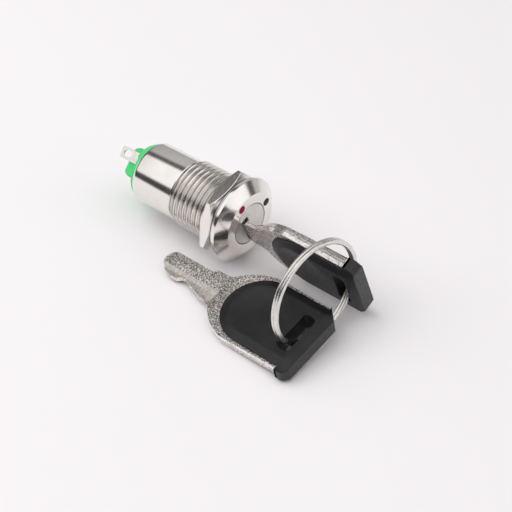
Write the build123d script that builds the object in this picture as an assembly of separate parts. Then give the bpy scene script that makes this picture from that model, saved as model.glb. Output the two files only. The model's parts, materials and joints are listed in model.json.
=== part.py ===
from build123d import *
import math
import os

# Selector key switch with two keys on a split ring. Millimetres.
# The lock axis is Y: the keys and the flange's face are on the -Y side, the terminals on the +Y side.
# The origin is on the axis in the plane of the flange's rear, panel-side face. +Z is up.

# ---- driving dimensions -------------------------------------------------------------------
THREAD_R = 6.0            # M12 x 1
THREAD_PITCH = 1.0
THREAD_DEPTH = 0.55
THREAD_END = 10.84
THREAD_RELIEF = 2         # turns next to the flange, inside the nut, that are left plain
THREAD_FLAT = 5.62        # axis to each of the two flats
FLAT_ANGLE = 25.8         # direction of the flats, the same as the green dot's
FLANGE_R = 7.5
FLANGE_RIM = 0.7
FACE_R = 5.6
FACE_Y = -2.2
BODY_R = 5.55
BODY_END = 20.0
BODY_EDGE = 0.9
RUN = 0.05                # radial clearance of every running fit
OFF_ANGLE = 112.4         # direction of the key's cut edge when the switch is off

PLUG_HEAD_R = 3.67
PLUG_R = 3.45
PLUG_HEAD_END = -0.8
BORE_END = 9.3
CHAMBER_R = 4.5

NUT_AF = 14.0
NUT_Y = 0.65
NUT_T = 2.1
NUT_ANGLE = 15.0

KEY_LENGTH = 32.8
KEY_SIDE = 7.2            # half width of the metal bow
KEY_METAL = 1.7
BLADE_T = 1.3
BLADE_BACK = -2.45
BLADE_RAMP = (18.9, 20.9)  # where the bow thins down to the blade
RECESS_T = (0.3, 0.95)    # top and foot of the recess's sloped wall
RECESS_DEPTH = 0.3
HEAD_SIDE = 6.5           # half width of the two face covers
HEAD_FRONT = 17.6
HEAD_TOP = 1.55           # half thickness of the head
HEAD_EDGE = 1.08          # half thickness at the covers' rim, before the bevel
HEAD_BEVEL = 1.4          # width of the bevel
CAP_SIDE = 7.28           # half width of the end cap
CAP_EDGE = 1.24           # half thickness of the cap's end face
CAP_BEVEL = 1.7
CAP_CORNER = 1.3
HEAD_CUT = 2.42           # the cut corner
METAL_END = 2.16          # where the bow's sides stop, beside the cap
BOW_END = 0.9             # the bow's middle goes on into the cap, round the ring's slot
TONGUE_SIDE = 5.2
DISH_S = 11.2             # the shallow thumb dish
DISH_R = 23.5
DISH_DEPTH = 0.42
SLOT_S = 3.3              # slot centre from the cap end
SLOT_T = 0.22
SLOT_LENGTH = 7.3
SLOT_WIDTH = 2.3
SLOT_CORNER = 0.8
SLOT_LINER = 0.45         # the moulding lines the slot in the metal, this thick

KEY_IN_Y = -25.82         # cap end of the key in the lock
KEY_IN_BACK = -0.55       # its centre line, measured towards the cut edge from the lock axis
KEY_IN_SIDE = 0.66        # its mid plane, measured from the lock axis
LOOSE_KEY = (-11.65, -24.90, -5.00)
LOOSE_ROLL = 11.38
LOOSE_PITCH = 3.09
LOOSE_YAW = 2.26

RING_CENTRE = (-7.76, -21.71, 1.75)
RING_AZIMUTH = 83.9       # direction of the ring's axis
RING_DIP = -4.35
RING_R = 8.69
RING_WIRE = 0.86          # radial width of the wire
RING_TURN = 0.54          # axial height of one of its two turns

DOT_R = 4.65
DOT_SIZE = 0.72
DOT_DEPTH = 0.35
RED_ANGLE = 115.5
GREEN_ANGLE = 26.2


# ---- helpers ------------------------------------------------------------------------------
def turned(points, arc=360.0):
    """A solid of revolution about Y from (radius, y) points."""
    return revolve(Polygon(*points, align=None), axis=Axis.Y, revolution_arc=arc)


def rod(radius, y0, y1, x=0.0, z=0.0):
    """A cylinder along Y."""
    return Pos(x, (y0 + y1) / 2, z) * Rot(90, 0, 0) * Cylinder(radius, y1 - y0)


def block(x0, x1, y0, y1, z0, z1):
    return Pos((x0 + x1) / 2, (y0 + y1) / 2, (z0 + z1) / 2) * Box(x1 - x0, y1 - y0, z1 - z0)


def about_axis(angle):
    """Turns a shape built with +Z as its reference so that the reference points along angle."""
    return Rot(0, 90 - angle, 0)


def coil(radius, wire, height, turns):
    """A compression spring along Z, from z = 0."""
    path = Helix(pitch=height / turns, height=height, radius=radius)
    section = Plane(origin=path @ 0, z_dir=path % 0) * Circle(wire)
    return sweep(section, path=path, is_frenet=True)


def slot_prism(grow, depth):
    """The ring's slot in a key, larger by grow on every side, to depth on both sides of mid thickness."""
    outline = RectangleRounded(SLOT_LENGTH + 2 * grow, SLOT_WIDTH + 2 * grow, SLOT_CORNER + grow)
    return extrude(Pos(SLOT_T, SLOT_S) * outline, depth, both=True)


LOCK = Rot(0, 90 - OFF_ANGLE, 0)      # local +Z is the side of the key's cut edge


# ---- housing ------------------------------------------------------------------------------
def thread_profile():
    """Outline of the threaded stretch from the flange to the rear body, as (radius, y) points."""
    root = THREAD_R - THREAD_DEPTH
    crest = 0.16
    start = 0.4
    turns = int((THREAD_END - start) / THREAD_PITCH)
    points = [(root, 0.0), (root, start + THREAD_RELIEF * THREAD_PITCH)]
    for i in range(THREAD_RELIEF, turns):
        y = start + i * THREAD_PITCH
        mid = y + THREAD_PITCH / 2
        points += [(THREAD_R, mid - crest / 2), (THREAD_R, mid + crest / 2), (root, y + 0.96 * THREAD_PITCH)]
    points += [(root, THREAD_END - 0.25), (BODY_R, THREAD_END)]
    return points


WAFER_Y = [1.0, 2.7, 4.4, 6.1]
WAFER_T = 0.7
WAFER_HALF = 1.5
WAFER_BARS = (1.80, 1.70, 1.60, 0.90)   # height of each bar, clear of every cut that passes it
KEY_X = -KEY_IN_SIDE                  # the key's mid plane in the lock's own frame
BALL_Y = 13.0
BALL_R = 0.5
BALL_OUT = 4.1                        # ball centre from the axis


def housing():
    outline = [(PLUG_HEAD_R + RUN, FACE_Y), (FACE_R, FACE_Y), (FLANGE_R, -FLANGE_RIM), (FLANGE_R, 0.0)]
    outline += thread_profile()
    outline += [(BODY_R, BODY_END), (CHAMBER_R, BODY_END), (CHAMBER_R, BORE_END), (PLUG_R + RUN, BORE_END)]
    outline += [(PLUG_R + RUN, PLUG_HEAD_END + RUN), (PLUG_HEAD_R + RUN, PLUG_HEAD_END + RUN)]
    body = turned(outline)
    rear = body.edges().filter_by(GeomType.CIRCLE).filter_by(lambda e: abs(e.radius - BODY_R) < 0.01)
    body = fillet(rear.sort_by(Axis.Y)[-1], BODY_EDGE)
    for side in (0, 180):
        flat = block(-FLANGE_R, FLANGE_R, 0.0, THREAD_END, THREAD_FLAT, FLANGE_R)
        body -= about_axis(FLAT_ANGLE + side) * flat
    # channels for the tumblers: the key comes out in both positions
    channel = block(KEY_X - WAFER_HALF - 0.2, KEY_X + WAFER_HALF + 0.2, 0.3, 7.0, -4.15, -1.0)
    body -= LOCK * channel
    body -= LOCK * Rot(0, 90, 0) * channel
    # the arc that the stop ball runs in, whose ends stop the plug at off and on
    groove = revolve(Pos(BALL_OUT, BALL_Y) * Circle(BALL_R + 0.06), axis=Axis.Y, revolution_arc=90)
    run = groove + Pos(BALL_OUT, BALL_Y, 0) * Sphere(BALL_R + 0.06)
    run += Rot(0, 90, 0) * (Pos(BALL_OUT, BALL_Y, 0) * Sphere(BALL_R + 0.06))
    body -= LOCK * run
    for angle in (RED_ANGLE, GREEN_ANGLE):
        body -= dot(angle, DOT_SIZE, FACE_Y - 1.0)
    return body


def dot(angle, radius, front):
    """A disc in one of the face's two dot recesses, from front to the recess's floor."""
    return about_axis(angle) * rod(radius, front, FACE_Y + DOT_DEPTH, 0.0, DOT_R)


def mark(angle):
    return dot(angle, DOT_SIZE - 0.01, FACE_Y + 0.03)


# ---- plug and tumblers, in the lock's own frame, turned into place ----------------------------
PLUG_END = 10.5
CLIP_Y = 9.4
CLIP_T = 0.45
CLIP_GROOVE_R = 2.9
TONGUE_T = 1.6
TONGUE_END = 12.6
KEYWAY_TOP = 2.15
SPRING_X = 1.95
SPRING_FROM = 1.5


def plug():
    outline = [(0, FACE_Y), (PLUG_HEAD_R, FACE_Y), (PLUG_HEAD_R, PLUG_HEAD_END), (PLUG_R, PLUG_HEAD_END)]
    outline += [(PLUG_R, CLIP_Y), (CLIP_GROOVE_R, CLIP_Y), (CLIP_GROOVE_R, CLIP_Y + CLIP_T + 0.1)]
    outline += [(3.3, CLIP_Y + CLIP_T + 0.1), (3.3, PLUG_END), (0, PLUG_END)]
    body = turned(outline)
    body += block(-TONGUE_T / 2, TONGUE_T / 2, PLUG_END - 0.5, TONGUE_END, -2.2, 2.2)
    half = BLADE_T / 2 + 0.08
    back = KEY_IN_BACK + BLADE_BACK - 0.07
    body -= block(KEY_X - half, KEY_X + half, FACE_Y - 1, PLUG_HEAD_END, back, KEYWAY_TOP)
    body -= block(KEY_X - half, KEY_X + half, PLUG_HEAD_END, 7.6, -PLUG_R - 1, KEYWAY_TOP)
    for y in WAFER_Y:
        y0 = y - WAFER_T / 2 - 0.08
        y1 = y + WAFER_T / 2 + 0.08
        body -= block(KEY_X - WAFER_HALF - 0.08, KEY_X + WAFER_HALF + 0.08, y0, y1, -4, 4)
        body -= block(KEY_X, SPRING_X + 0.5, y0, y1, 0.2, 2.65)
    return body


def wafer(index):
    """A U-shaped tumbler: its bar is over the key's cut edge and its legs pass either side of the blade."""
    y = WAFER_Y[index]
    bar = WAFER_BARS[index]
    y0 = y - WAFER_T / 2
    y1 = y + WAFER_T / 2
    leg = BLADE_T / 2 + 0.1
    body = block(KEY_X - WAFER_HALF, KEY_X + WAFER_HALF, y0, y1, -2.85, 3.0)
    body -= block(KEY_X - leg, KEY_X + leg, y0 - 1, y1 + 1, -4, bar)
    body += block(KEY_X + WAFER_HALF - 0.2, SPRING_X + 0.4, y0, y1, 0.95, SPRING_FROM - 0.05)
    return body & rod(PLUG_R - 0.07, y0 - 1, y1 + 1)


def wafer_springs():
    spring = coil(0.22, 0.06, 0.95, 4)
    return Compound(children=[LOCK * Pos(SPRING_X, y, SPRING_FROM) * spring for y in WAFER_Y])


def retaining_clip():
    ring = rod(4.2, CLIP_Y + 0.04, CLIP_Y + CLIP_T) - rod(CLIP_GROOVE_R + 0.04, CLIP_Y - 1, CLIP_Y + 1)
    return ring - block(-1.9, 1.9, CLIP_Y - 1, CLIP_Y + 1, 0, 5)


# ---- switching mechanism ------------------------------------------------------------------
ROTOR_Y = (11.0, 14.5)
ROTOR_R = 4.35
POST_R = 0.55
BRIDGE_Y = 14.85
BRIDGE_T = 0.25
STUD_R = 2.55


def rotor():
    body = rod(ROTOR_R, *ROTOR_Y)
    body -= block(-TONGUE_T / 2 - 0.05, TONGUE_T / 2 + 0.05, ROTOR_Y[0] - 1, TONGUE_END + 0.2, -2.3, 2.3)
    body -= rod(1.3, 13.4, 15.0)
    body += rod(POST_R, 13.2, 15.35)
    pocket = Cylinder(BALL_R + 0.05, 2.7, align=(Align.CENTER, Align.CENTER, Align.MIN))
    body -= Pos(1.9, BALL_Y, 0) * Rot(0, 90, 0) * pocket
    return body


def bridge():
    """The moving contact: a strip with a hole for the post and a raised contact at each end."""
    strip = block(-0.9, 0.9, BRIDGE_Y, BRIDGE_Y + BRIDGE_T, -3.3, 3.3) & rod(3.3, BRIDGE_Y - 1, BRIDGE_Y + 1)
    strip -= rod(POST_R + 0.08, BRIDGE_Y - 1, BRIDGE_Y + 1)
    for side in (-1, 1):
        strip += rod(0.5, BRIDGE_Y, BRIDGE_Y + BRIDGE_T + 0.25, 0, side * STUD_R)
    return strip


def bridge_spring():
    spring = coil(0.85, 0.13, 1.05, 3)
    return Pos(0, 13.6, 0) * Rot(-90, 0, 0) * spring


def ball():
    return Pos(BALL_OUT, BALL_Y, 0) * Sphere(BALL_R)


def ball_spring():
    return Pos(2.0, BALL_Y, 0) * Rot(0, 90, 0) * coil(0.32, 0.09, 1.45, 4)


# ---- rear insulator and terminals ------------------------------------------------------------
TERMINAL_ANGLE = 137.0    # direction that the seen terminal faces
TERMINAL_OUT = 1.4        # its inner face from the axis
TERMINAL_T = 0.4
TERMINAL_W = 2.1
TERMINAL_X = 0.85         # its centre line, to the side of the axis
TERMINAL_END = 26.6
EYELET_FROM = 24.2
EYELET_TO = 26.0
EYELET_W = 1.2
INSULATOR_Y = 16.2
STUD_ANGLE = OFF_ANGLE - 90
RIM_R = 5.0
BOSS_R = 2.8
BOSS_END = 24.5
RIBS = ((88, 21.2), (268, 22.3))      # direction and end of the two ribs on the rim


def terminal(side):
    """A stamped solder tab with a foot inside, on one side of the boss. side is 1 or -1."""
    x = TERMINAL_X
    z0 = TERMINAL_OUT
    z1 = TERMINAL_OUT + TERMINAL_T
    tab = block(x - TERMINAL_W / 2, x + TERMINAL_W / 2, INSULATOR_Y, TERMINAL_END, z0, z1)
    tip = tab.edges().filter_by(Axis.Z).sort_by(Axis.Y)[-2:]
    tab = fillet(tip, 0.5)
    length = EYELET_TO - EYELET_FROM
    eyelet = Pos(x, (EYELET_FROM + EYELET_TO) / 2) * SlotOverall(length, EYELET_W, rotation=90)
    tab -= extrude(eyelet, 9)
    tab += block(x - TERMINAL_W / 2, x + TERMINAL_W / 2, INSULATOR_Y - 0.4, INSULATOR_Y, z0, 2.6)
    turn = TERMINAL_ANGLE if side > 0 else TERMINAL_ANGLE + 180
    tab = about_axis(turn) * tab
    pad = about_axis(STUD_ANGLE + (180 if side > 0 else 0)) * rod(0.75, INSULATOR_Y - 0.4, INSULATOR_Y, 0, STUD_R)
    link = pad_link(side)
    return tab + pad + link


def pad_link(side):
    """The strip that joins the terminal's foot to its contact pad."""
    pad_angle = math.radians(STUD_ANGLE + (180 if side > 0 else 0))
    foot_angle = math.radians(TERMINAL_ANGLE + (0 if side > 0 else 180))
    a = (STUD_R * math.cos(pad_angle), STUD_R * math.sin(pad_angle))
    reach = TERMINAL_OUT + 0.6
    b = (reach * math.cos(foot_angle), reach * math.sin(foot_angle))
    length = math.hypot(b[0] - a[0], b[1] - a[1])
    tilt = math.degrees(math.atan2(b[1] - a[1], b[0] - a[0]))
    strip = block(0, length, INSULATOR_Y - 0.4, INSULATOR_Y, -0.6, 0.6)
    return Pos(a[0], 0, a[1]) * Rot(0, -tilt, 0) * strip


def stud(side):
    angle = STUD_ANGLE + (180 if side > 0 else 0)
    return about_axis(angle) * rod(0.55, INSULATOR_Y - 0.75, INSULATOR_Y - 0.4, 0, STUD_R)


def insulator():
    body = rod(CHAMBER_R - 0.02, INSULATOR_Y, BODY_END) + rod(RIM_R, BODY_END, BODY_END + 0.5)
    boss = rod(BOSS_R, BODY_END, BOSS_END)
    boss = fillet(boss.edges().sort_by(Axis.Y)[-1], 0.7)
    for side in (0, 180):
        cut = block(-RIM_R, RIM_R, BODY_END + 0.5, BOSS_END + 1, TERMINAL_OUT - 0.02, RIM_R)
        boss -= about_axis(TERMINAL_ANGLE + side) * cut
    body += boss
    for angle, end in RIBS:
        rib = rod(4.5, BODY_END, end) - rod(3.6, BODY_END - 1, end + 1)
        body += rib & (about_axis(angle) * block(-2.2, 2.2, BODY_END - 1, end + 1, 2, 5))
    for side in (0, 180):
        hole = block(TERMINAL_X - TERMINAL_W / 2 - 0.02, TERMINAL_X + TERMINAL_W / 2 + 0.02, INSULATOR_Y - 1,
                     TERMINAL_END, TERMINAL_OUT - 0.02, TERMINAL_OUT + TERMINAL_T + 0.02)
        body -= about_axis(TERMINAL_ANGLE + side) * hole
    return body


# ---- nut and washer -------------------------------------------------------------------------
def nut():
    corner = NUT_AF / 2 / math.cos(math.pi / 6)
    angles = [math.radians(NUT_ANGLE + 60 * i) for i in range(6)]
    ring = [(corner * math.cos(a), NUT_Y, corner * math.sin(a)) for a in angles]
    body = extrude(make_face(Polyline(*ring, close=True)), NUT_T, dir=(0, 1, 0))
    flat = NUT_AF / 2 + 0.1
    end = NUT_Y + NUT_T
    outline = [(THREAD_R + RUN, NUT_Y + 0.3), (THREAD_R + 0.35, NUT_Y), (flat, NUT_Y), (corner + 0.1, NUT_Y + 0.5)]
    outline += [(corner + 0.1, end - 0.5), (flat, end), (THREAD_R + 0.35, end), (THREAD_R + RUN, end - 0.3)]
    return body & turned(outline)


def washer():
    """An internal-tooth lock washer."""
    y0, y1 = 0.1, 0.55
    body = rod(6.9, y0, y1) - rod(6.5, y0 - 1, y1 + 1)
    teeth = rod(6.6, y0, y1) - rod(THREAD_R + 0.06, y0 - 1, y1 + 1)
    spoke = block(-0.6, 0.6, y0, y1, 5, 6.6)
    for i in range(10):
        body += teeth & (Rot(0, 36 * i, 0) * spoke)
    return body


# ---- keys: X across towards the cut edge, Y from the cap end to the tip, Z through the thickness ---------
# distance from the cap end and from the centre line of each corner of the key's cut edge
CUTS = [(2.9, 21.0), (2.7, 22.5), (2.1, 24.2), (1.75, 25.6), (1.35, 26.5), (1.38, 27.5)]
CUTS += [(2.0, 28.35), (2.05, 29.8), (1.5, 31.3), (0.6, 32.4)]


def blade():
    side = KEY_SIDE
    right = ThreePointArc((side, 13.6), (5.9, 16.9), (3.3, 19.7))
    left = ThreePointArc((-3.45, 19.7), (-5.9, 16.7), (-side, 12.6))
    cut_edge = Polyline((3.3, 19.7), *CUTS)
    tip = ThreePointArc((0.6, 32.4), (-0.3, KEY_LENGTH), (-1.3, KEY_LENGTH - 0.15))
    back = Polyline((-1.3, KEY_LENGTH - 0.15), (BLADE_BACK, 31.6), (BLADE_BACK, 23.6), (-3.15, 23.2))
    bump = Polyline((-3.15, 23.2), (-3.2, 20.6), (-3.45, 19.7))
    close = Polyline((-side, 12.6), (-side, METAL_END), (-TONGUE_SIDE, METAL_END), (-TONGUE_SIDE, BOW_END),
                     (TONGUE_SIDE, BOW_END), (TONGUE_SIDE, METAL_END), (side, METAL_END), (side, 13.6))
    face = make_face(Wire([*right.edges(), *cut_edge.edges(), *tip.edges(), *back.edges(), *bump.edges(),
                           *left.edges(), *close.edges()]))
    body = extrude(face, KEY_METAL / 2, both=True)
    low, full = BLADE_T / 2, KEY_METAL / 2
    thin = Polygon((BLADE_RAMP[0], full), (BLADE_RAMP[1], low), (34, low), (34, full), align=None)
    for side in (thin, mirror(thin, about=Plane.XZ)):
        body -= extrude(Plane.YZ * side, 6, both=True)
    # the long recess beside the cut edge, with a sloped wall
    top, foot = RECESS_T
    profile = Polygon((top - 0.3, -low - 0.16), (foot, -low + RECESS_DEPTH), (5, -low + RECESS_DEPTH),
                      (5, -low - 0.16), align=None)
    body -= extrude(Plane.XZ.offset(-34) * profile, 34 - 19.8)
    body -= slot_prism(SLOT_LINER, KEY_METAL)
    return body


def cover_outline():
    """A face cover's outline: a half-round front and straight sides that run on past the cap end."""
    side = HEAD_SIDE
    round_from = HEAD_FRONT - side
    front = ThreePointArc((side, round_from), (0, HEAD_FRONT), (-side, round_from))
    rest = Polyline((-side, round_from), (-side, -5), (side, -5), (side, round_from))
    return make_face(Wire([*front.edges(), *rest.edges()]))


def cap_envelope():
    """A block with the end cap's width, its cut corner and its rounded corner, open past the front."""
    side = CAP_SIDE
    r = CAP_CORNER
    bend = r * (1 - math.sqrt(0.5))
    rest = Polyline((side, r), (side, KEY_LENGTH), (-side, KEY_LENGTH), (-side, HEAD_CUT),
                    (-side + HEAD_CUT, 0), (side - r, 0))
    corner = ThreePointArc((side - r, 0), (side - bend, bend), (side, r))
    return extrude(make_face(Wire([*rest.edges(), *corner.edges()])), HEAD_TOP + 1)


def head():
    """The moulded head: a cover on each face of the bow, joined by the end cap."""
    rise = HEAD_TOP - HEAD_EDGE
    slope = math.degrees(math.atan2(HEAD_BEVEL, rise))
    shell = extrude(cover_outline(), HEAD_EDGE)
    shell += extrude(Pos(0, 0, HEAD_EDGE) * cover_outline(), rise, taper=slope)
    shell += block(-CAP_SIDE, CAP_SIDE, 0, METAL_END, 0, CAP_EDGE)
    lean = Polygon((0, CAP_EDGE), (CAP_BEVEL, HEAD_TOP), (CAP_BEVEL, 5), (0, 5), align=None)
    shell -= extrude(Plane.YZ * lean, CAP_SIDE + 1, both=True)
    shell &= cap_envelope()
    shell -= Pos(0, DISH_S, HEAD_TOP - DISH_DEPTH + DISH_R) * Sphere(DISH_R)
    shell += mirror(shell, about=Plane.XY)
    gap = KEY_METAL / 2 + 0.01
    shell -= block(-20, 20, METAL_END - 0.02, 40, -gap, gap)
    shell -= block(-TONGUE_SIDE - 0.02, TONGUE_SIDE + 0.02, BOW_END - 0.02, 40, -gap, gap)
    shell += slot_prism(SLOT_LINER - 0.02, gap + 0.1)
    shell -= slot_prism(0, HEAD_TOP + 1)
    return shell


def key_in_place():
    """Location of the key that is in the lock."""
    edge = Vector(math.cos(math.radians(OFF_ANGLE)), 0, math.sin(math.radians(OFF_ANGLE)))
    face = Vector(-edge.Z, 0, edge.X)
    origin = edge * KEY_IN_BACK + face * KEY_IN_SIDE + Vector(0, KEY_IN_Y, 0)
    return Plane(origin=origin, x_dir=edge, z_dir=face).location


def loose_key_place():
    """Location of the loose key, which leans on the ring with its cut edge on the -X side."""
    roll, pitch, yaw = (math.radians(a) for a in (LOOSE_ROLL, LOOSE_PITCH, LOOSE_YAW))
    along = Vector(math.sin(yaw) * math.cos(pitch), math.cos(yaw) * math.cos(pitch), -math.sin(pitch))
    up = Vector(-math.sin(roll), 0, math.cos(roll))
    up = (up - along * up.dot(along)).normalized()
    edge = up.cross(along)
    return Plane(origin=LOOSE_KEY, x_dir=edge, z_dir=up * -1).location


def split_ring():
    """The double-turn ring, closed: two flat-sided turns side by side."""
    section = Sketch()
    for turn in (-1, 1):
        section += Pos(RING_R, turn * (RING_TURN / 2 - 0.02)) * RectangleRounded(RING_WIRE, RING_TURN, 0.15)
    ring = revolve(section, axis=Axis.Y)
    azimuth, dip = math.radians(RING_AZIMUTH), math.radians(RING_DIP)
    axis = Vector(math.cos(azimuth) * math.cos(dip), math.sin(azimuth) * math.cos(dip), math.sin(dip))
    place = Plane(origin=RING_CENTRE, z_dir=axis).location
    return place * Rot(90, 0, 0) * ring


# ---- export ---------------------------------------------------------------------------------
def build():
    nodes = {"barrel_housing": housing(), "off_mark": mark(RED_ANGLE), "on_mark": mark(GREEN_ANGLE)}
    nodes["key_plug"] = LOCK * plug()
    nodes["plug_retaining_clip"] = LOCK * retaining_clip()
    for i in range(len(WAFER_Y)):
        nodes[f"wafer_{i + 1}"] = LOCK * wafer(i)
    nodes["wafer_springs"] = wafer_springs()
    nodes["contact_rotor"] = LOCK * rotor()
    nodes["contact_bridge"] = LOCK * bridge()
    nodes["bridge_spring"] = LOCK * bridge_spring()
    nodes["stop_ball"] = LOCK * ball()
    nodes["stop_ball_spring"] = LOCK * ball_spring()
    nodes["terminal_common"] = terminal(1)
    nodes["terminal_switched"] = terminal(-1)
    nodes["contact_studs"] = Compound(children=[stud(1), stud(-1)])
    nodes["rear_insulator"] = insulator()
    nodes["hex_nut"] = nut()
    nodes["lock_washer"] = washer()
    metal = blade()
    cover = head()
    for name, place in (("key_1", key_in_place()), ("key_2", loose_key_place())):
        nodes[f"{name}_blade"] = place * metal
        nodes[f"{name}_head"] = place * cover
    nodes["split_ring"] = split_ring()
    return nodes


os.makedirs("parts", exist_ok=True)
for node, shape in build().items():
    export_step(shape, f"parts/{node}.step")
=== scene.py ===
import json
import math

import bmesh
import bpy
from mathutils import Matrix, Vector


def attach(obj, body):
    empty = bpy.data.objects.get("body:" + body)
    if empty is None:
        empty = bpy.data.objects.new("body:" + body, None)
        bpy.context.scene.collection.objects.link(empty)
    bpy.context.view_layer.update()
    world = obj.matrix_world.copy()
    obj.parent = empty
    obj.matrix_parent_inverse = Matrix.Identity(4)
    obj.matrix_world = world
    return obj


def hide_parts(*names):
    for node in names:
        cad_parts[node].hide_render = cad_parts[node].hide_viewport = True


# A panel key switch with two keys on a split ring. Shapes are made in millimetres, in the row frame
# (the lock's axis is Y, +Z is up), and scaled to metres when their object is made.

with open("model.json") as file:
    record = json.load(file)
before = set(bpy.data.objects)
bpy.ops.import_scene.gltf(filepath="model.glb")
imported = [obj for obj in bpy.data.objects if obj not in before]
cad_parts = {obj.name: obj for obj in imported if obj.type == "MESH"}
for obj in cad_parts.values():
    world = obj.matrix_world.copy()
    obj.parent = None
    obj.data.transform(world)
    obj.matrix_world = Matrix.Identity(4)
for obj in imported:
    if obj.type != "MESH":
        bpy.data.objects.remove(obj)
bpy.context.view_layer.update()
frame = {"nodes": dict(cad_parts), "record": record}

MM = 0.001

# ---- sizes, in millimetres and degrees, the same as the CAD's ---------------------------------
THREAD_R = 6.0
THREAD_PITCH = 1.0
THREAD_ROOT = 5.45
THREAD_END = 10.84
THREAD_FLAT = 5.62
FLAT_ANGLE = 25.8
FLANGE_R = 7.5
FLANGE_RIM = 0.7
FACE_R = 5.6
FACE_Y = -2.2
BODY_R = 5.55
BODY_END = 20.0
BODY_EDGE = 0.9
OFF_ANGLE = 112.4
PLUG_HEAD_R = 3.67
PLUG_GAP = 0.1
NUT_AF = 14.0
NUT_Y = 0.65
NUT_T = 2.1
NUT_ANGLE = 15.0
KEY_LENGTH = 32.8
KEY_SIDE = 7.2
KEY_METAL = 1.7
BLADE_T = 1.3
BLADE_BACK = -2.45
BLADE_RAMP = (18.9, 20.9)
RECESS_T = (0.3, 0.95)
RECESS_DEPTH = 0.3
HEAD_SIDE = 6.5
HEAD_FRONT = 17.6
HEAD_TOP = 1.55
HEAD_EDGE = 1.08
HEAD_BEVEL = 1.4
CAP_SIDE = 7.28
CAP_EDGE = 1.24
CAP_BEVEL = 1.7
CAP_CORNER = 1.3
HEAD_CUT = 2.42
METAL_END = 2.16
BOW_END = 0.9
TONGUE_SIDE = 5.2
DISH_S = 11.2
DISH_REACH = 4.9
DISH_DEPTH = 0.42
SLOT_S = 3.3
SLOT_T = 0.22
SLOT_LENGTH = 7.3
SLOT_WIDTH = 2.3
SLOT_CORNER = 0.8
SLOT_CLEAR = 0.45
KEY_IN_Y = -25.82
KEY_IN_BACK = -0.55
KEY_IN_SIDE = 0.66
WAFER_Y = (1.0, 2.7, 4.4, 6.1)
WAFER_HALF = 1.5
WAFER_T = 0.7
WAFER_GAP = 0.08
LOOSE_KEY = (-11.65, -24.90, -5.00)
LOOSE_ROLL = 11.38
LOOSE_PITCH = 3.09
LOOSE_YAW = 2.26
RING_CENTRE = (-7.76, -21.71, 1.75)
RING_AZIMUTH = 83.9
RING_DIP = -4.35
RING_R = 8.69
RING_WIRE = 0.86
RING_TURN = 0.54
DOT_R = 4.65
DOT_SIZE = 0.72
DOT_DEPTH = 0.35
RED_ANGLE = 115.5
GREEN_ANGLE = 26.2
TERMINAL_ANGLE = 137.0
TERMINAL_OUT = 1.4
TERMINAL_T = 0.4
TERMINAL_W = 2.1
TERMINAL_X = 0.85
TERMINAL_END = 26.6
EYELET = (24.2, 26.0, 1.2)
INSULATOR_Y = 16.2
RIM_R = 5.0
BOSS_R = 2.8
BOSS_END = 24.5
RIBS = ((88, 21.2), (268, 22.3))
FLOOR_Z = -8.02


# ---- mesh helpers -----------------------------------------------------------------------------
def soften(corners, steps=8, runs=1):
    """The points of a closed outline of (x, y, radius) corners, with each corner rounded by an arc.
    runs divides each straight stretch into that many parts."""
    arcs = []
    count = len(corners)
    for i, (x, y, radius) in enumerate(corners):
        corner = Vector((x, y))
        before = (Vector(corners[i - 1][:2]) - corner).normalized()
        after = (Vector(corners[(i + 1) % count][:2]) - corner).normalized()
        half = before.angle(after) / 2
        if radius <= 0 or half > math.pi / 2 - 0.02:
            arcs.append([corner])
            continue
        centre = corner + (before + after).normalized() * (radius / math.sin(half))
        start = corner + before * (radius / math.tan(half)) - centre
        end = corner + after * (radius / math.tan(half)) - centre
        a0 = math.atan2(start.y, start.x)
        turn = (math.atan2(end.y, end.x) - a0 + math.pi) % (2 * math.pi) - math.pi
        angles = [a0 + turn * k / steps for k in range(steps + 1)]
        arcs.append([centre + radius * Vector((math.cos(a), math.sin(a))) for a in angles])
    points = []
    for i, arc in enumerate(arcs):
        points += arc
        following = arcs[(i + 1) % count][0]
        points += [arc[-1].lerp(following, k / runs) for k in range(1, runs)]
    return [(p.x, p.y) for p in points]


def arc_through(a, b, c, steps=10):
    """Points from a to c on the circle through a, b and c."""
    ax, ay, bx, by, cx, cy = *a, *b, *c
    d = 2 * (ax * (by - cy) + bx * (cy - ay) + cx * (ay - by))
    a2, b2, c2 = ax * ax + ay * ay, bx * bx + by * by, cx * cx + cy * cy
    x = (a2 * (by - cy) + b2 * (cy - ay) + c2 * (ay - by)) / d
    y = (a2 * (cx - bx) + b2 * (ax - cx) + c2 * (bx - ax)) / d
    radius = math.hypot(ax - x, ay - y)
    start = math.atan2(ay - y, ax - x)
    turn = (math.atan2(cy - y, cx - x) - start + math.pi) % (2 * math.pi) - math.pi
    angles = [start + turn * k / steps for k in range(steps + 1)]
    return [(x + radius * math.cos(t), y + radius * math.sin(t)) for t in angles]


def skin(columns, around=True, along=True):
    """A mesh over a grid of points. around joins the last column to the first, along closes each column."""
    bm = bmesh.new()
    grid = [[bm.verts.new(p) for p in column] for column in columns]
    for i in range(len(grid) - (not around)):
        here, there = grid[i], grid[(i + 1) % len(grid)]
        for j in range(len(here) - (not along)):
            k = (j + 1) % len(here)
            bm.faces.new((here[j], here[k], there[k], there[j]))
    bmesh.ops.remove_doubles(bm, verts=bm.verts, dist=1e-4)
    bmesh.ops.delete(bm, geom=[e for e in bm.edges if e.is_wire], context="EDGES")
    return bm


def lathe(profile, steps=128):
    """A solid of revolution about Y from a closed profile of (radius, y) points."""
    columns = []
    for i in range(steps):
        a = 2 * math.pi * i / steps
        columns.append([(r * math.cos(a), y, r * math.sin(a)) for r, y in profile])
    return skin(columns)


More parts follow.
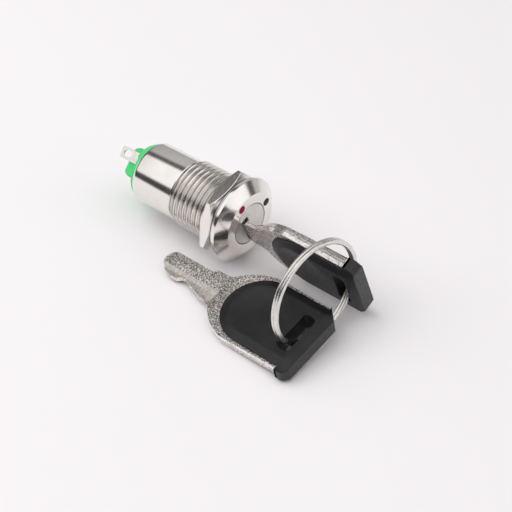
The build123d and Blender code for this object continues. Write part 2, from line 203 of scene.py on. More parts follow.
def prism(outline, z0, z1):
    """An upright prism over an outline of (x, y) points."""
    bm = bmesh.new()
    low = [bm.verts.new((x, y, z0)) for x, y in outline]
    high = [bm.verts.new((x, y, z1)) for x, y in outline]
    bm.faces.new(low[::-1])
    bm.faces.new(high)
    for i in range(len(low)):
        k = (i + 1) % len(low)
        bm.faces.new((low[i], low[k], high[k], high[i]))
    return bm


def block(x0, x1, y0, y1, z0, z1):
    return prism([(x0, y0), (x1, y0), (x1, y1), (x0, y1)], z0, z1)


def moved(bm, matrix):
    bmesh.ops.transform(bm, matrix=matrix, verts=bm.verts)
    return bm


def joined(*meshes):
    """One mesh that holds all of these as separate closed shells."""
    whole = bmesh.new()
    for bm in meshes:
        part = bpy.data.meshes.new("part")
        bm.to_mesh(part)
        whole.from_mesh(part)
        bpy.data.meshes.remove(part)
    return whole


def combined(base, tool, operation="DIFFERENCE"):
    """The boolean of two closed meshes."""
    held = []
    for bm in (base, tool):
        bmesh.ops.recalc_face_normals(bm, faces=bm.faces)
        mesh = bpy.data.meshes.new("boolean")
        bm.to_mesh(mesh)
        obj = bpy.data.objects.new("boolean", mesh)
        bpy.context.scene.collection.objects.link(obj)
        held.append(obj)
    modifier = held[0].modifiers.new("boolean", "BOOLEAN")
    modifier.object = held[1]
    modifier.operation = operation
    modifier.solver = "EXACT"
    bpy.context.view_layer.update()
    depsgraph = bpy.context.evaluated_depsgraph_get()
    mesh = bpy.data.meshes.new_from_object(held[0].evaluated_get(depsgraph))
    result = bmesh.new()
    result.from_mesh(mesh)
    bmesh.ops.remove_doubles(result, verts=result.verts, dist=5e-4)
    bpy.data.meshes.remove(mesh)
    for obj in held:
        old = obj.data
        bpy.data.objects.remove(obj)
        bpy.data.meshes.remove(old)
    return result


def about_axis(angle):
    """The matrix that turns +Z about the lock's axis to point along angle, measured from +X to +Z."""
    return Matrix.Rotation(math.radians(90 - angle), 4, "Y")


def piece(name, bm, body, nodes, materials, place=None, edge=0.0, sharp=35):
    """Makes an object of a mesh in millimetres. It rides on body, stands for nodes, and its edges get a
    small round of edge millimetres. materials is one, or several used by the faces' indices."""
    bmesh.ops.recalc_face_normals(bm, faces=bm.faces)
    if place is not None:
        moved(bm, place)
    moved(bm, Matrix.Scale(MM, 4))
    for face in bm.faces:
        face.smooth = True
    for line in bm.edges:
        line.smooth = len(line.link_faces) == 2 and line.calc_face_angle(0.0) < math.radians(sharp)
    mesh = bpy.data.meshes.new(name)
    bm.to_mesh(mesh)
    bm.free()
    obj = bpy.data.objects.new(name, mesh)
    bpy.context.scene.collection.objects.link(obj)
    for material in materials if isinstance(materials, (list, tuple)) else [materials]:
        mesh.materials.append(material)
    if edge > 0:
        bevel = obj.modifiers.new("edges", "BEVEL")
        bevel.width = edge * MM
        bevel.segments = 2
        bevel.limit_method = "ANGLE"
        bevel.angle_limit = math.radians(sharp)
        bevel.use_clamp_overlap = False
        bevel.harden_normals = True
    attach(obj, body)
    if nodes:
        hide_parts(*nodes)
    return obj


# ---- materials --------------------------------------------------------------------------------
class Surface:
    """A procedural material: a principled shader with noise in its colour, roughness and bump."""

    def __init__(self, name, colour, roughness, metallic=0.0):
        self.material = bpy.data.materials.new(name)
        self.material.use_nodes = True
        self.tree = self.material.node_tree
        self.shader = self.tree.nodes["Principled BSDF"]
        self.shader.inputs["Base Color"].default_value = (*colour, 1)
        self.shader.inputs["Roughness"].default_value = roughness
        self.shader.inputs["Metallic"].default_value = metallic
        self.place = self.tree.nodes.new("ShaderNodeTexCoord").outputs["Object"]
        self.normal = None

    def noise(self, size, detail=3.0):
        """Noise with features of size millimetres."""
        node = self.tree.nodes.new("ShaderNodeTexNoise")
        node.inputs["Scale"].default_value = 1 / (size * MM)
        node.inputs["Detail"].default_value = detail
        self.tree.links.new(self.place, node.inputs["Vector"])
        return node.outputs["Fac"]

    def radius(self):
        """The distance from the lock's axis, which the thread's painted root shade is keyed to."""
        flat = self.tree.nodes.new("ShaderNodeVectorMath")
        flat.operation = "MULTIPLY"
        flat.inputs[1].default_value = (1, 0, 1)
        self.tree.links.new(self.place, flat.inputs[0])
        length = self.tree.nodes.new("ShaderNodeVectorMath")
        length.operation = "LENGTH"
        self.tree.links.new(flat.outputs["Vector"], length.inputs[0])
        return length.outputs["Value"]

    def spread(self, source, low, high, start=0.3, end=0.7):
        """The source, a value or a colour mix, mapped from start..end to low..high."""
        if isinstance(low, tuple):
            share = self.spread(source, 0.0, 1.0, start, end)
            ramp = self.tree.nodes.new("ShaderNodeValToRGB")
            ramp.color_ramp.elements[0].color = (*low, 1)
            ramp.color_ramp.elements[1].color = (*high, 1)
            self.tree.links.new(share, ramp.inputs["Fac"])
            return ramp.outputs["Color"]
        node = self.tree.nodes.new("ShaderNodeMapRange")
        for socket, value in zip(("From Min", "From Max", "To Min", "To Max"), (start, end, low, high)):
            node.inputs[socket].default_value = value
        self.tree.links.new(source, node.inputs["Value"])
        return node.outputs["Result"]

    def colour(self, source, low, high, start=0.3, end=0.7):
        self.tree.links.new(self.spread(source, low, high, start, end), self.shader.inputs["Base Color"])
        return self

    def rough(self, source, low, high, start=0.3, end=0.7):
        self.tree.links.new(self.spread(source, low, high, start, end), self.shader.inputs["Roughness"])
        return self

    def bump(self, source, height, strength=1.0):
        """A bump of that height in millimetres."""
        node = self.tree.nodes.new("ShaderNodeBump")
        node.inputs["Distance"].default_value = height * MM
        node.inputs["Strength"].default_value = strength
        self.tree.links.new(source, node.inputs["Height"])
        if self.normal is not None:
            self.tree.links.new(self.normal, node.inputs["Normal"])
        self.normal = node.outputs["Normal"]
        self.tree.links.new(self.normal, self.shader.inputs["Normal"])
        return self

    def set(self, **values):
        """Sets sockets of the shader, with _ for a space in the name."""
        for name, value in values.items():
            self.shader.inputs[name.replace("_", " ")].default_value = value
        return self


def make_materials():
    made = {}

    nickel = Surface("polished_nickel", (0.78, 0.75, 0.71), 0.13, 1.0)
    nickel.colour(nickel.noise(3.0), (0.80, 0.773, 0.74), (0.88, 0.853, 0.82))
    nickel.rough(nickel.noise(0.25), 0.10, 0.20)
    nickel.bump(nickel.noise(0.12, 4.0), 0.0012)
    made["nickel_polished"] = nickel

    thread = Surface("nickel_thread", (0.7, 0.68, 0.65), 0.22, 1.0)
    # Painted shade: the thread's colour darkens from the crest down to the root, standing in for the shade in
    # its grooves.
    reach = thread.radius()
    thread.colour(reach, (0.34, 0.32, 0.30), (0.86, 0.83, 0.79), THREAD_ROOT * MM, (THREAD_ROOT + 0.25) * MM)
    thread.rough(thread.noise(0.2), 0.16, 0.30)
    thread.bump(thread.noise(0.12, 4.0), 0.0015)
    made["nickel_thread"] = thread

    satin = Surface("satin_nickel", (0.66, 0.64, 0.61), 0.36, 1.0)
    satin.colour(satin.noise(1.6), (0.62, 0.60, 0.57), (0.70, 0.68, 0.65))
    satin.rough(satin.noise(0.2), 0.30, 0.44)
    satin.bump(satin.noise(0.09, 4.0), 0.0018)
    made["nickel_satin"] = satin

    grain = Surface("cast_key_grain", (0.50, 0.47, 0.44), 0.40, 1.0)
    grain.colour(grain.noise(0.20, 1.0), (0.20, 0.182, 0.172), (1.0, 0.955, 0.92), 0.42, 0.60)
    grain.rough(grain.noise(0.3), 0.30, 0.50)
    grain.bump(grain.noise(0.22, 2.0), 0.05)
    made["key_metal"] = grain

    edge = Surface("cast_key_edge", (0.78, 0.75, 0.71), 0.26, 1.0)
    edge.colour(edge.noise(0.5, 2.0), (0.62, 0.59, 0.56), (0.98, 0.95, 0.92), 0.34, 0.50)
    edge.rough(edge.noise(0.3), 0.20, 0.36)
    edge.bump(edge.noise(0.25, 3.0), 0.010)
    made["key_edge"] = edge

    recess = Surface("cast_key_recess", (0.66, 0.62, 0.56), 0.42, 1.0)
    recess.colour(recess.noise(0.5, 2.0), (0.52, 0.48, 0.43), (0.80, 0.76, 0.70))
    recess.bump(recess.noise(0.22, 2.0), 0.02)
    made["key_recess"] = recess

    black = Surface("satin_black_moulding", (0.012, 0.012, 0.013), 0.42)
    black.colour(black.noise(2.2), (0.006, 0.006, 0.0065), (0.012, 0.012, 0.0125))
    black.rough(black.noise(0.5), 0.36, 0.50)
    black.bump(black.noise(0.16, 4.0), 0.004)
    black.set(Specular_IOR_Level=0.5)
    made["black_plastic"] = black

    green = Surface("green_moulding", (0.07, 0.66, 0.20), 0.36)
    green.colour(green.noise(1.5), (0.06, 0.60, 0.18), (0.085, 0.72, 0.23))
    green.rough(green.noise(0.3), 0.30, 0.44)
    green.bump(green.noise(0.2), 0.003)
    green.set(Subsurface_Weight=0.15, Subsurface_Scale=0.0008)
    made["green_plastic"] = green

    red = Surface("red_enamel", (0.46, 0.004, 0.03), 0.30)
    red.set(Specular_IOR_Level=0.08)
    red.colour(red.noise(0.3), (0.25, 0.001, 0.015), (0.38, 0.002, 0.028))
    red.bump(red.noise(0.15), 0.006)
    made["red_enamel"] = red

    deep = Surface("green_enamel", (0.006, 0.13, 0.075), 0.30)
    deep.set(Specular_IOR_Level=0.08)
    deep.colour(deep.noise(0.3), (0.001, 0.035, 0.022), (0.004, 0.075, 0.048))
    deep.bump(deep.noise(0.15), 0.006)
    made["green_enamel"] = deep

    tin = Surface("bright_tin", (0.86, 0.85, 0.82), 0.26, 1.0)
    tin.colour(tin.noise(0.6), (0.80, 0.79, 0.76), (0.90, 0.89, 0.86))
    tin.rough(tin.noise(0.25), 0.20, 0.36)
    tin.bump(tin.noise(0.12), 0.002)
    made["tinned_brass"] = tin

    wire = Surface("bright_wire", (0.74, 0.72, 0.69), 0.22, 1.0)
    wire.colour(wire.noise(0.9), (0.68, 0.66, 0.63), (0.80, 0.78, 0.75))
    wire.rough(wire.noise(0.2), 0.15, 0.30)
    wire.bump(wire.noise(0.1), 0.0015)
    made["split_wire"] = wire

    spring = Surface("spring_steel", (0.50, 0.50, 0.51), 0.28, 1.0)
    spring.colour(spring.noise(0.5), (0.42, 0.42, 0.43), (0.56, 0.56, 0.57))
    spring.rough(spring.noise(0.15), 0.22, 0.36)
    made["spring_steel"] = spring

    brass = Surface("stamped_brass", (0.70, 0.50, 0.20), 0.30, 1.0)
    brass.colour(brass.noise(0.5), (0.62, 0.43, 0.16), (0.76, 0.56, 0.25))
    brass.rough(brass.noise(0.2), 0.24, 0.38)
    made["brass"] = brass

    ivory = Surface("ivory_moulding", (0.72, 0.68, 0.58), 0.45)
    ivory.colour(ivory.noise(0.9), (0.68, 0.64, 0.54), (0.76, 0.72, 0.62))
    ivory.bump(ivory.noise(0.2), 0.003)
    made["rotor_plastic"] = ivory

    silver = Surface("contact_silver", (0.86, 0.86, 0.84), 0.20, 1.0)
    silver.colour(silver.noise(0.4), (0.80, 0.80, 0.78), (0.90, 0.90, 0.88))
    silver.rough(silver.noise(0.2), 0.15, 0.27)
    made["silver_contact"] = silver

    return {name: surface.material for name, surface in made.items()}


MATERIAL = make_materials()


def dress_cad_nodes():
    """Gives every CAD node that stays the material of its slot in the record."""
    for part in frame["record"]["subparts"]:
        data = frame["nodes"][part["node"]].data
        data.materials.clear()
        data.materials.append(MATERIAL[part["material_slot"]])


# ---- the lock ---------------------------------------------------------------------------------
def crest(phase):
    """Height of the thread over its root, 0 to 1, at a phase of 0 to 1 with the crest at 0.5."""
    away = abs(phase - 0.5) * 2
    flank = min(1.0, max(0.0, (0.86 - away) / 0.68))
    return 0.45 * flank + 0.55 * (0.5 - 0.5 * math.cos(math.pi * flank))


def threaded_tube():
    """The tube with its right-hand thread and two flats, from inside the flange to inside the body."""
    column_count = 168
    rows_per_turn = 14
    y0, y1 = -0.3, THREAD_END + 0.2
    rows = int((y1 - y0) / THREAD_PITCH + 2) * rows_per_turn
    columns = []
    for i in range(column_count + 1):
        a = 2 * math.pi * i / column_count
        lead = THREAD_PITCH * i / column_count
        column = []
        for j in range(rows + 1):
            y = y0 - THREAD_PITCH + THREAD_PITCH * j / rows_per_turn + lead
            y = min(y1, max(y0, y))
            phase = ((y - y0 - lead) / THREAD_PITCH + 0.2) % 1.0
            depth = THREAD_R - THREAD_ROOT
            run_out = min(1.0, max(0.0, (THREAD_END - 0.12 - y) / 0.45))
            r = THREAD_ROOT + depth * crest(phase) * run_out
            column.append((r * math.cos(a), y, r * math.sin(a)))
        columns.append(column)
    tube = skin(columns, around=False, along=False)
    bmesh.ops.remove_doubles(tube, verts=tube.verts, dist=2e-4)
    ends = [e for e in tube.edges if e.is_boundary]
    bmesh.ops.holes_fill(tube, edges=ends, sides=0)
    for side in (0, 180):
        normal = about_axis(FLAT_ANGLE + side) @ Vector((0, 0, 1))
        everything = tube.verts[:] + tube.edges[:] + tube.faces[:]
        bmesh.ops.bisect_plane(tube, geom=everything, dist=1e-5, plane_co=normal * THREAD_FLAT,
                               plane_no=normal, clear_outer=True)
        bmesh.ops.holes_fill(tube, edges=[e for e in tube.edges if e.is_boundary], sides=0)
    return tube


def barrel():
    """The flange with its bevel, the threaded tube and the plain body."""
    bore = PLUG_HEAD_R + PLUG_GAP
    flange = lathe(soften([(bore, FACE_Y, 0.08), (FACE_R, FACE_Y, 0.10), (FLANGE_R - 0.02, -FLANGE_RIM, 0.16),
                           (FLANGE_R, 0.0, 0.14), (bore, 0.0, 0)], 4), 160)
    for angle in (RED_ANGLE, GREEN_ANGLE):
        hole = lathe([(0, FACE_Y - 1), (DOT_SIZE, FACE_Y - 1), (DOT_SIZE, FACE_Y + DOT_DEPTH),
                      (0, FACE_Y + DOT_DEPTH)], 32)
        moved(hole, about_axis(angle) @ Matrix.Translation((0, 0, DOT_R)))
        flange = combined(flange, hole)
    body = lathe(soften([(0, THREAD_END - 0.04, 0), (BODY_R - 0.3, THREAD_END - 0.04, 0),
                         (BODY_R, THREAD_END + 0.26, 0.12), (BODY_R, BODY_END, BODY_EDGE),
                         (0, BODY_END, 0)], 10), 160)
    thread = threaded_tube()
    for face in thread.faces:
        face.material_index = 1
    shell = joined(flange, thread, body)
    return piece("barrel", shell, "switch_body", ["barrel_housing"],
                 [MATERIAL["nickel_polished"], MATERIAL["nickel_thread"]], sharp=28)


def dots():
    """The red and green enamel fills, slightly domed in their recesses."""
    for name, node, angle in (("red_dot", "off_mark", RED_ANGLE), ("green_dot", "on_mark", GREEN_ANGLE)):
        radius = DOT_SIZE - 0.01
        floor = FACE_Y + DOT_DEPTH
        rise = 0.07
        profile = [(0, floor), (radius, floor), (radius, FACE_Y + 0.06)]
        for k in range(1, 6):
            a = math.pi / 2 * k / 5
            profile.append((radius * math.cos(a), FACE_Y + 0.06 - rise * math.sin(a)))
        bm = moved(lathe(profile, 32), about_axis(angle) @ Matrix.Translation((0, 0, DOT_R)))
        slot = "red_enamel" if node == "off_mark" else "green_enamel"
        piece(name, bm, "switch_body", [node], MATERIAL[slot])


def hex_nut():
    """The nut: six flats with 30 degree chamfers at both faces and a chamfered bore."""
    per_side = 12
    corner = NUT_AF / 2 / math.cos(math.pi / 6)
    land = NUT_AF / 2 - 0.15
    y0, y1 = NUT_Y, NUT_Y + NUT_T
    columns = []
    for i in range(6 * per_side):
        turn = 60 * i / per_side
        a = math.radians(NUT_ANGLE + turn)
        reach = NUT_AF / 2 / math.cos(math.radians(turn % 60 - 30))
        drop = (reach - land) * math.tan(math.radians(30))
        profile = [(THREAD_R + 0.06, y0 + 0.35), (THREAD_R + 0.4, y0), (land, y0), (reach, y0 + drop),
                   (reach, y1 - drop), (land, y1), (THREAD_R + 0.4, y1), (THREAD_R + 0.06, y1 - 0.35)]
        columns.append([(min(r, corner) * math.cos(a), y, min(r, corner) * math.sin(a)) for r, y in profile])
    return piece("hexagon_nut", skin(columns), "nut", ["hex_nut"],
                 MATERIAL["nickel_polished"], edge=0.07, sharp=20)


def plug_face():
    """The turning plug's visible end, with the keyway and a slot across it for each tumbler."""
    depth = 9.0
    body = lathe(soften([(0, FACE_Y, 0), (PLUG_HEAD_R, FACE_Y, 0.12), (PLUG_HEAD_R, FACE_Y + depth, 0),
                         (0, FACE_Y + depth, 0)], 4), 128)
    half = BLADE_T / 2 + 0.08
    x = -KEY_IN_SIDE
    slot = block(x - half, x + half, FACE_Y - 1, FACE_Y + depth + 1, KEY_IN_BACK + BLADE_BACK - 0.07, 2.15)
    body = combined(body, slot)
    across = WAFER_HALF + WAFER_GAP
    along = WAFER_T / 2 + WAFER_GAP
    for y in WAFER_Y:
        body = combined(body, block(x - across, x + across, y - along, y + along, -4, 4))
    return body


# ---- rear insulator and terminals ---------------------------------------------------------------
def rear_insulator():
    """The green moulding: a rim, a boss with a flat for each terminal and two low ribs."""
    rim = lathe(soften([(0, BODY_END - 0.3, 0), (RIM_R, BODY_END - 0.3, 0), (RIM_R, BODY_END + 0.5, 0.15),
                        (0, BODY_END + 0.5, 0)], 4), 128)
    boss = lathe(soften([(0, BODY_END, 0), (BOSS_R, BODY_END, 0), (BOSS_R, BOSS_END, 0.7),
                         (0, BOSS_END, 0)], 8), 96)
    flat = TERMINAL_OUT - 0.02
    for side in (0, 180):
        cut = block(-RIM_R, RIM_R, BODY_END - 1, BOSS_END + 1, flat, RIM_R)
        boss = combined(boss, moved(cut, about_axis(TERMINAL_ANGLE + side)))
    parts = [rim, boss]
    for angle, end in RIBS:
        shroud = lathe([(3.6, BODY_END), (4.5, BODY_END), (4.5, end), (3.6, end)], 128)
        wedge = moved(block(-2.2, 2.2, BODY_END - 1, end + 1, 2, 5), about_axis(angle))
        parts.append(combined(shroud, wedge, "INTERSECT"))
    bm = parts[0]
    for part in parts[1:]:
        bm = combined(bm, part, "UNION")
    piece("insulator", bm, "switch_body", ["rear_insulator"], MATERIAL["green_plastic"],
          edge=0.08, sharp=30)


def terminals():
    """The two stamped solder tabs with their eyelets."""
    x = TERMINAL_X
    half = TERMINAL_W / 2
    low, high, width = EYELET
    for node, side in (("terminal_common", 0), ("terminal_switched", 180)):
        outline = soften([(x - half, INSULATOR_Y, 0), (x + half, INSULATOR_Y, 0),
                          (x + half, TERMINAL_END, 0.5), (x - half, TERMINAL_END, 0.5)], 6)
        tab = prism(outline, TERMINAL_OUT, TERMINAL_OUT + TERMINAL_T)
        r = width / 2
        eye = soften([(x - r, low, r - 0.01), (x + r, low, r - 0.01), (x + r, high, r - 0.01),
                      (x - r, high, r - 0.01)], 8)
        tab = combined(tab, prism(eye, 0, 5))
        piece(f"{node}_tab", tab, "switch_body", [node], MATERIAL["tinned_brass"],
              place=about_axis(TERMINAL_ANGLE + side), edge=0.05)


# ---- keys, made flat: X across towards the cut edge, Y from the cap end to the tip ---------------
CUTS = [(2.9, 21.0), (2.7, 22.5), (2.1, 24.2), (1.75, 25.6), (1.35, 26.5), (1.38, 27.5)]
CUTS += [(2.0, 28.35), (2.05, 29.8), (1.5, 31.3), (0.6, 32.4)]


def key_in_place():
    """The matrix of the key that is in the lock."""
    a = math.radians(OFF_ANGLE)
    edge = Vector((math.cos(a), 0, math.sin(a)))
    face = Vector((-edge.z, 0, edge.x))
    origin = edge * KEY_IN_BACK + face * KEY_IN_SIDE + Vector((0, KEY_IN_Y, 0))
    return placed(origin, edge, face)


def loose_key_place():
    """The matrix of the loose key, which leans on the ring with its cut edge on the -X side."""
    roll, pitch, yaw = (math.radians(a) for a in (LOOSE_ROLL, LOOSE_PITCH, LOOSE_YAW))
    along = Vector((math.sin(yaw) * math.cos(pitch), math.cos(yaw) * math.cos(pitch), -math.sin(pitch)))
    up = Vector((-math.sin(roll), 0, math.cos(roll)))
    up = (up - along * up.dot(along)).normalized()
    return placed(Vector(LOOSE_KEY), up.cross(along), -up)


def placed(origin, x_dir, z_dir):
    """The matrix that puts a piece's origin at origin and its X and Z along these directions."""
    y_dir = z_dir.cross(x_dir)
    matrix = Matrix((x_dir, y_dir, z_dir)).transposed().to_4x4()
    return Matrix.Translation(origin) @ matrix


def key_slot(grow, depth):
    """The ring's slot as a closed solid, grow larger all round and depth to each side."""
    x0, x1 = SLOT_T - SLOT_LENGTH / 2 - grow, SLOT_T + SLOT_LENGTH / 2 + grow
    y0, y1 = SLOT_S - SLOT_WIDTH / 2 - grow, SLOT_S + SLOT_WIDTH / 2 + grow
    radius = SLOT_CORNER + grow
    return prism(soften([(x0, y0, radius), (x1, y0, radius), (x1, y1, radius), (x0, y1, radius)], 8),
                 -depth, depth)


def casting(outline):
    """A flat casting: its sides lean out to a fine groove along the parting line at mid thickness."""
    half = KEY_METAL / 2
    levels = [(-half, 0.09), (-0.09, 0.0), (0.0, 0.09), (0.09, 0.0), (half, 0.09)]
    rings = []
    for z, distance in levels:
        ring = []
        for i, point in enumerate(outline):
            here = Vector(point)
            before = (here - Vector(outline[i - 1])).normalized()
            after = (Vector(outline[(i + 1) % len(outline)]) - here).normalized()
            inward = Vector((-before.y - after.y, before.x + after.x)).normalized()
            reach = distance / max(0.5, inward.dot(Vector((-after.y, after.x))))
            ring.append((here.x + inward.x * reach, here.y + inward.y * reach, z))
        rings.append(ring)
    bm = skin(rings, around=False, along=True)
    bmesh.ops.holes_fill(bm, edges=[e for e in bm.edges if e.is_boundary], sides=0)
    return bm


def long_wedge(points, x0, x1):
    """A prism along X over an outline of (y, z) points."""
    bm = prism(points, x0, x1)
    for vert in bm.verts:
        y, z, x = vert.co
        vert.co = (x, y, z)
    return bm


def key_metal():
    """The bow, the neck and the blade with its cuts and the long recess beside them."""
    side = KEY_SIDE
    outline = arc_through((side, 13.6), (5.9, 16.9), (3.3, 19.7))
    outline += CUTS
    outline += arc_through((0.6, 32.4), (-0.3, KEY_LENGTH), (-1.3, KEY_LENGTH - 0.15), 5)[1:]
    outline += arc_through((-1.3, KEY_LENGTH - 0.15), (-2.0, 32.3), (BLADE_BACK, 31.6), 4)[1:]
    outline += [(BLADE_BACK, 23.6), (-3.15, 23.2), (-3.2, 20.6)]
    outline += arc_through((-3.45, 19.7), (-5.9, 16.7), (-side, 12.6))
    outline += soften([(-side, METAL_END, 0.25), (-TONGUE_SIDE, METAL_END, 0), (-TONGUE_SIDE, BOW_END, 0),
                       (TONGUE_SIDE, BOW_END, 0), (TONGUE_SIDE, METAL_END, 0), (side, METAL_END, 0.25),
                       (0, 12, 0)], 4)[:-1]
    bm = casting(outline)
    low, full = BLADE_T / 2, KEY_METAL / 2 + 0.1
    start, end = BLADE_RAMP
    for top in (-1, 1):
        bm = combined(bm, long_wedge([(start, top * KEY_METAL / 2), (end, top * low), (34, top * low),
                                      (34, top * full), (start, top * full)], -6, 6))
    top, foot = RECESS_T
    floor = -low + RECESS_DEPTH
    outline = [(top - 0.3, -low - 0.16), (foot, floor), (5, floor), (5, -low - 0.16)]
    recess = prism(outline, 0, 1)
    for vert in recess.verts:
        x, z, y = vert.co
        vert.co = (x, 19.8 + 14 * y, z)
    bm = combined(bm, recess)
    bm = combined(bm, key_slot(SLOT_CLEAR, KEY_METAL))
    bm.normal_update()
    for face in bm.faces:
        middle = face.calc_center_median()
        in_recess = middle.z > -low + 0.1 and face.normal.z < -0.9
        face.material_index = 2 if in_recess else 1 if abs(face.normal.z) < 0.97 else 0
    return bm


def inset(corners, distance, rates):
    """The convex outline moved inwards by distance, edge i, after corner i, at its own rate."""
    count = len(corners)
    lines = []
    for i in range(count):
        a, b = Vector(corners[i][:2]), Vector(corners[(i + 1) % count][:2])
        along = (b - a).normalized()
        inward = Vector((-along.y, along.x))
        lines.append((a + inward * distance * rates[i], along))
    moved_corners = []
    for i, (_, _, radius) in enumerate(corners):
        (p, u), (q, v) = lines[i - 1], lines[i]
        t = (q - p).cross(v) / u.cross(v)
        at = p + u * t
        moved_corners.append((at.x, at.y, max(0.03, radius - distance)))
    return moved_corners


def soft_min(a, b, blend):
    """The smaller of a and b, rounded over where they are within blend of each other."""
    mix = max(0.0, min(1.0, 0.5 + (b - a) / (2 * blend)))
    return a * mix + b * (1 - mix) - blend * mix * (1 - mix)


def head_half_thickness(x, y):
    """Half the head's thickness: the bevels along the sides and at the cap end, and the thumb dish."""
    middle = HEAD_FRONT - HEAD_SIDE
    inside = HEAD_SIDE - (math.hypot(x, y - middle) if y > middle else abs(x))
    along_side = HEAD_EDGE + (HEAD_TOP - HEAD_EDGE) * max(inside, -0.1) / HEAD_BEVEL
    along_end = CAP_EDGE + (HEAD_TOP - CAP_EDGE) * y / CAP_BEVEL
    z = soft_min(soft_min(along_side, along_end, 0.06), HEAD_TOP, 0.07)
    reach = min(1.0, math.hypot(x, y - DISH_S) / DISH_REACH)
    return z - DISH_DEPTH * (1 - reach ** 2) ** 1.3


def key_head():
    """The moulded head: rings from the middle of one face over the rim to the middle of the other."""
    side = CAP_SIDE
    front = HEAD_FRONT + CAP_SIDE - HEAD_SIDE
    corners = [(-side, HEAD_CUT, 0.3), (-side + HEAD_CUT, 0.0, 0.3), (side, 0.0, CAP_CORNER),
               (side, front, side), (-side, front, side)]
    crest = CAP_SIDE - HEAD_SIDE + HEAD_BEVEL
    rates = [0.85, CAP_BEVEL / crest, 1.0, 1.0, 1.0]
    steps = [0.0, 0.3, 0.68, 0.78, 1.1, 1.5, 1.8, 1.95, 2.05, 2.12, crest, 2.26, 2.36, 2.5, 2.75, 3.05, 3.3]
    flat_rings = [soften(inset(corners, distance, rates), 14, 12) for distance in steps]
    centre = Vector((0, 10.6))
    inner = [Vector(p) for p in flat_rings[-1]]
    for scale in (0.92, 0.84, 0.74, 0.62, 0.48, 0.34):
        flat_rings.append([tuple(centre + (p - centre) * scale) for p in inner])
    rings = [[(x, y, head_half_thickness(x, y)) for x, y in ring] for ring in flat_rings]
    lower = [[(x, y, -z) for x, y, z in ring] for ring in rings]
    shell = skin(rings[::-1] + lower, around=False, along=True)
    middles = bmesh.ops.holes_fill(shell, edges=[e for e in shell.edges if e.is_boundary], sides=0)["faces"]
    for vert in bmesh.ops.poke(shell, faces=middles)["verts"]:
        vert.co.z = math.copysign(head_half_thickness(vert.co.x, vert.co.y), vert.co.z)
    narrow = HEAD_SIDE
    arc = arc_through((-narrow, HEAD_FRONT - narrow), (0, HEAD_FRONT), (narrow, HEAD_FRONT - narrow), 56)
    trimmer = [(-9, METAL_END), (-narrow, METAL_END)] + arc + [(narrow, METAL_END), (9, METAL_END)]
    trimmer += [(9, 30), (-9, 30)]
    shell = combined(shell, prism(trimmer, -4, 4))
    gap = KEY_METAL / 2 + 0.01
    tongue = TONGUE_SIDE + 0.02
    bow = METAL_END - 0.02
    end = BOW_END - 0.02
    room = [(-20, bow), (-tongue, bow), (-tongue, end), (tongue, end), (tongue, bow), (20, bow),
            (20, 40), (-20, 40)]
    shell = combined(shell, prism(room, -gap, gap))
    shell = combined(shell, key_slot(SLOT_CLEAR - 0.02, gap + 0.2), "UNION")
    shell = combined(shell, key_slot(0, HEAD_TOP + 1))
    bmesh.ops.triangulate(shell, faces=[face for face in shell.faces if len(face.verts) > 4])
    return shell


def keys():
    """The key in the lock and the loose key, each with its metal and its head."""
    places = (("key_1", "lock_key", key_in_place()), ("key_2", "loose_key", loose_key_place()))
    for name, body, place in places:
        piece(f"{name}_metal", key_metal(), body, [f"{name}_blade"],
              [MATERIAL["key_metal"], MATERIAL["key_edge"], MATERIAL["key_recess"]],
              place=place, edge=0.09, sharp=30)
        piece(f"{name}_cover", key_head(), body, [f"{name}_head"],
              MATERIAL["black_plastic"], place=place, edge=0.09, sharp=40)


def split_ring():
    """Two turns of flat-sided wire: it crosses from one turn to the other over a short stretch."""
    cross = math.radians(26)
    steps = 300
    section = soften([(-RING_WIRE / 2, -RING_TURN / 2, 0.2), (RING_WIRE / 2, -RING_TURN / 2, 0.2),
                      (RING_WIRE / 2, RING_TURN / 2, 0.2), (-RING_WIRE / 2, RING_TURN / 2, 0.2)], 4)
    start = cross / 2
    end = 4 * math.pi - cross / 2
    columns = []
    for i in range(steps + 1):
        a = start + (end - start) * i / steps
        t = min(1.0, max(0.0, (a - 2 * math.pi) / cross + 0.5))
        shift = (RING_TURN / 2 - 0.02) * (2 * t * t * (3 - 2 * t) - 1)
        columns.append([((RING_R + u) * math.cos(a), (RING_R + u) * math.sin(a), v + shift)
                        for u, v in section])
    bm = skin(columns, around=False, along=True)
    bmesh.ops.holes_fill(bm, edges=[e for e in bm.edges if e.is_boundary], sides=0)
    azimuth, dip = math.radians(RING_AZIMUTH), math.radians(RING_DIP)
    axis = Vector((math.cos(azimuth) * math.cos(dip), math.sin(azimuth) * math.cos(dip), math.sin(dip)))
    side = axis.cross(Vector((0, 0, 1))).normalized()
    place = placed(Vector(RING_CENTRE), side, axis)
    piece("double_ring", bm, "ring", ["split_ring"], MATERIAL["split_wire"],
          place=place, sharp=40)


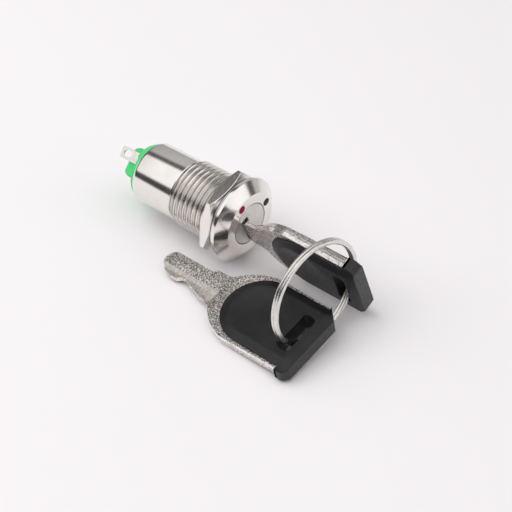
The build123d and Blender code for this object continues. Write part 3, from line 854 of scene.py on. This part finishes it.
# ---- stage ------------------------------------------------------------------------------------
def stage():
    """A pale floor, soft light and the camera."""
    floor = bpy.data.meshes.new("floor")
    bm = bmesh.new()
    reach = 4.0
    corners = [(-reach, -reach), (reach, -reach), (reach, reach), (-reach, reach)]
    bm.faces.new([bm.verts.new((x, y, FLOOR_Z * MM)) for x, y in corners])
    bm.to_mesh(floor)
    bm.free()
    ground = bpy.data.objects.new("floor", floor)
    bpy.context.scene.collection.objects.link(ground)
    paper = Surface("pale_floor", (0.86, 0.84, 0.85), 0.7)
    floor.materials.append(paper.material)

    scene = bpy.context.scene
    scene.view_settings.view_transform = "Standard"
    world = bpy.data.worlds.new("studio")
    world.use_nodes = True
    tree = world.node_tree

    def maths(operation, *inputs):
        node = tree.nodes.new("ShaderNodeMath")
        node.operation = operation
        for socket, value in zip(node.inputs, inputs):
            if isinstance(value, bpy.types.NodeSocket):
                tree.links.new(value, socket)
            else:
                socket.default_value = value
        return node.outputs["Value"]

    # A pale room, by the angle about Y from +X (0) over +Z (90) to -X (180). It has two dark gaps, which
    # lean with the direction's Y, and it darkens towards the +Y end.
    parts = tree.nodes.new("ShaderNodeSeparateXYZ")
    tree.links.new(tree.nodes.new("ShaderNodeTexCoord").outputs["Generated"], parts.inputs["Vector"])
    about = maths("DIVIDE", maths("ARCTAN2", parts.outputs["Z"], parts.outputs["X"]), math.pi)
    lean = maths("MULTIPLY_ADD", about, -0.204, 0.2835)
    turned = maths("SUBTRACT", about, maths("MULTIPLY", lean, maths("SUBTRACT", parts.outputs["Y"], 0.48)))
    ramp = tree.nodes.new("ShaderNodeValToRGB")
    tree.links.new(turned, ramp.inputs["Fac"])
    stops = ((0, 0.38), (57, 0.50), (64, 0.09), (77, 0.09), (83, 1.0), (151, 1.0), (157, 0.05), (180, 0.05))
    while len(ramp.color_ramp.elements) < len(stops):
        ramp.color_ramp.elements.new(0.5)
    for element, (angle, level) in zip(ramp.color_ramp.elements, stops):
        element.position = angle / 180
        element.color = (level, level * 0.985, level * 0.99, 1)
    end = tree.nodes.new("ShaderNodeMapRange")
    for socket, value in zip(("From Min", "From Max", "To Min", "To Max"), (0.6, 0.8, 1.12, 0.3)):
        end.inputs[socket].default_value = value
    tree.links.new(parts.outputs["Y"], end.inputs["Value"])
    background = tree.nodes["Background"]
    tree.links.new(ramp.outputs["Color"], background.inputs["Color"])
    tree.links.new(end.outputs["Result"], background.inputs["Strength"])
    scene.world = world

    def softbox(name, position, target, size, power):
        data = bpy.data.lights.new(name, "AREA")
        data.shape = "RECTANGLE"
        data.size, data.size_y = size
        data.energy = power
        obj = bpy.data.objects.new(name, data)
        obj.location = position
        obj.rotation_euler = (Vector(target) - Vector(position)).to_track_quat("-Z", "Y").to_euler()
        obj.visible_glossy = False
        scene.collection.objects.link(obj)

    softbox("key_light", position=(-0.20, 0.24, 0.45), target=(0, 0, 0), size=(0.6, 0.6), power=1.84)

    camera = bpy.data.cameras.new("camera")
    camera.sensor_width = 36.0
    camera.lens = 81.28
    obj = bpy.data.objects.new("camera", camera)
    obj.location = (-0.11198, -0.09666, 0.12277)
    look = Vector((0.57516, 0.47860, -0.66343))
    obj.rotation_euler = look.to_track_quat("-Z", "Y").to_euler()
    camera.clip_start = 0.01
    scene.collection.objects.link(obj)
    scene.camera = obj


dress_cad_nodes()
barrel()
dots()
hex_nut()
piece("plug_end", plug_face(), "plug", ["key_plug"], MATERIAL["nickel_satin"],
      place=about_axis(OFF_ANGLE), edge=0.05)
rear_insulator()
terminals()
keys()
split_ring()
stage()
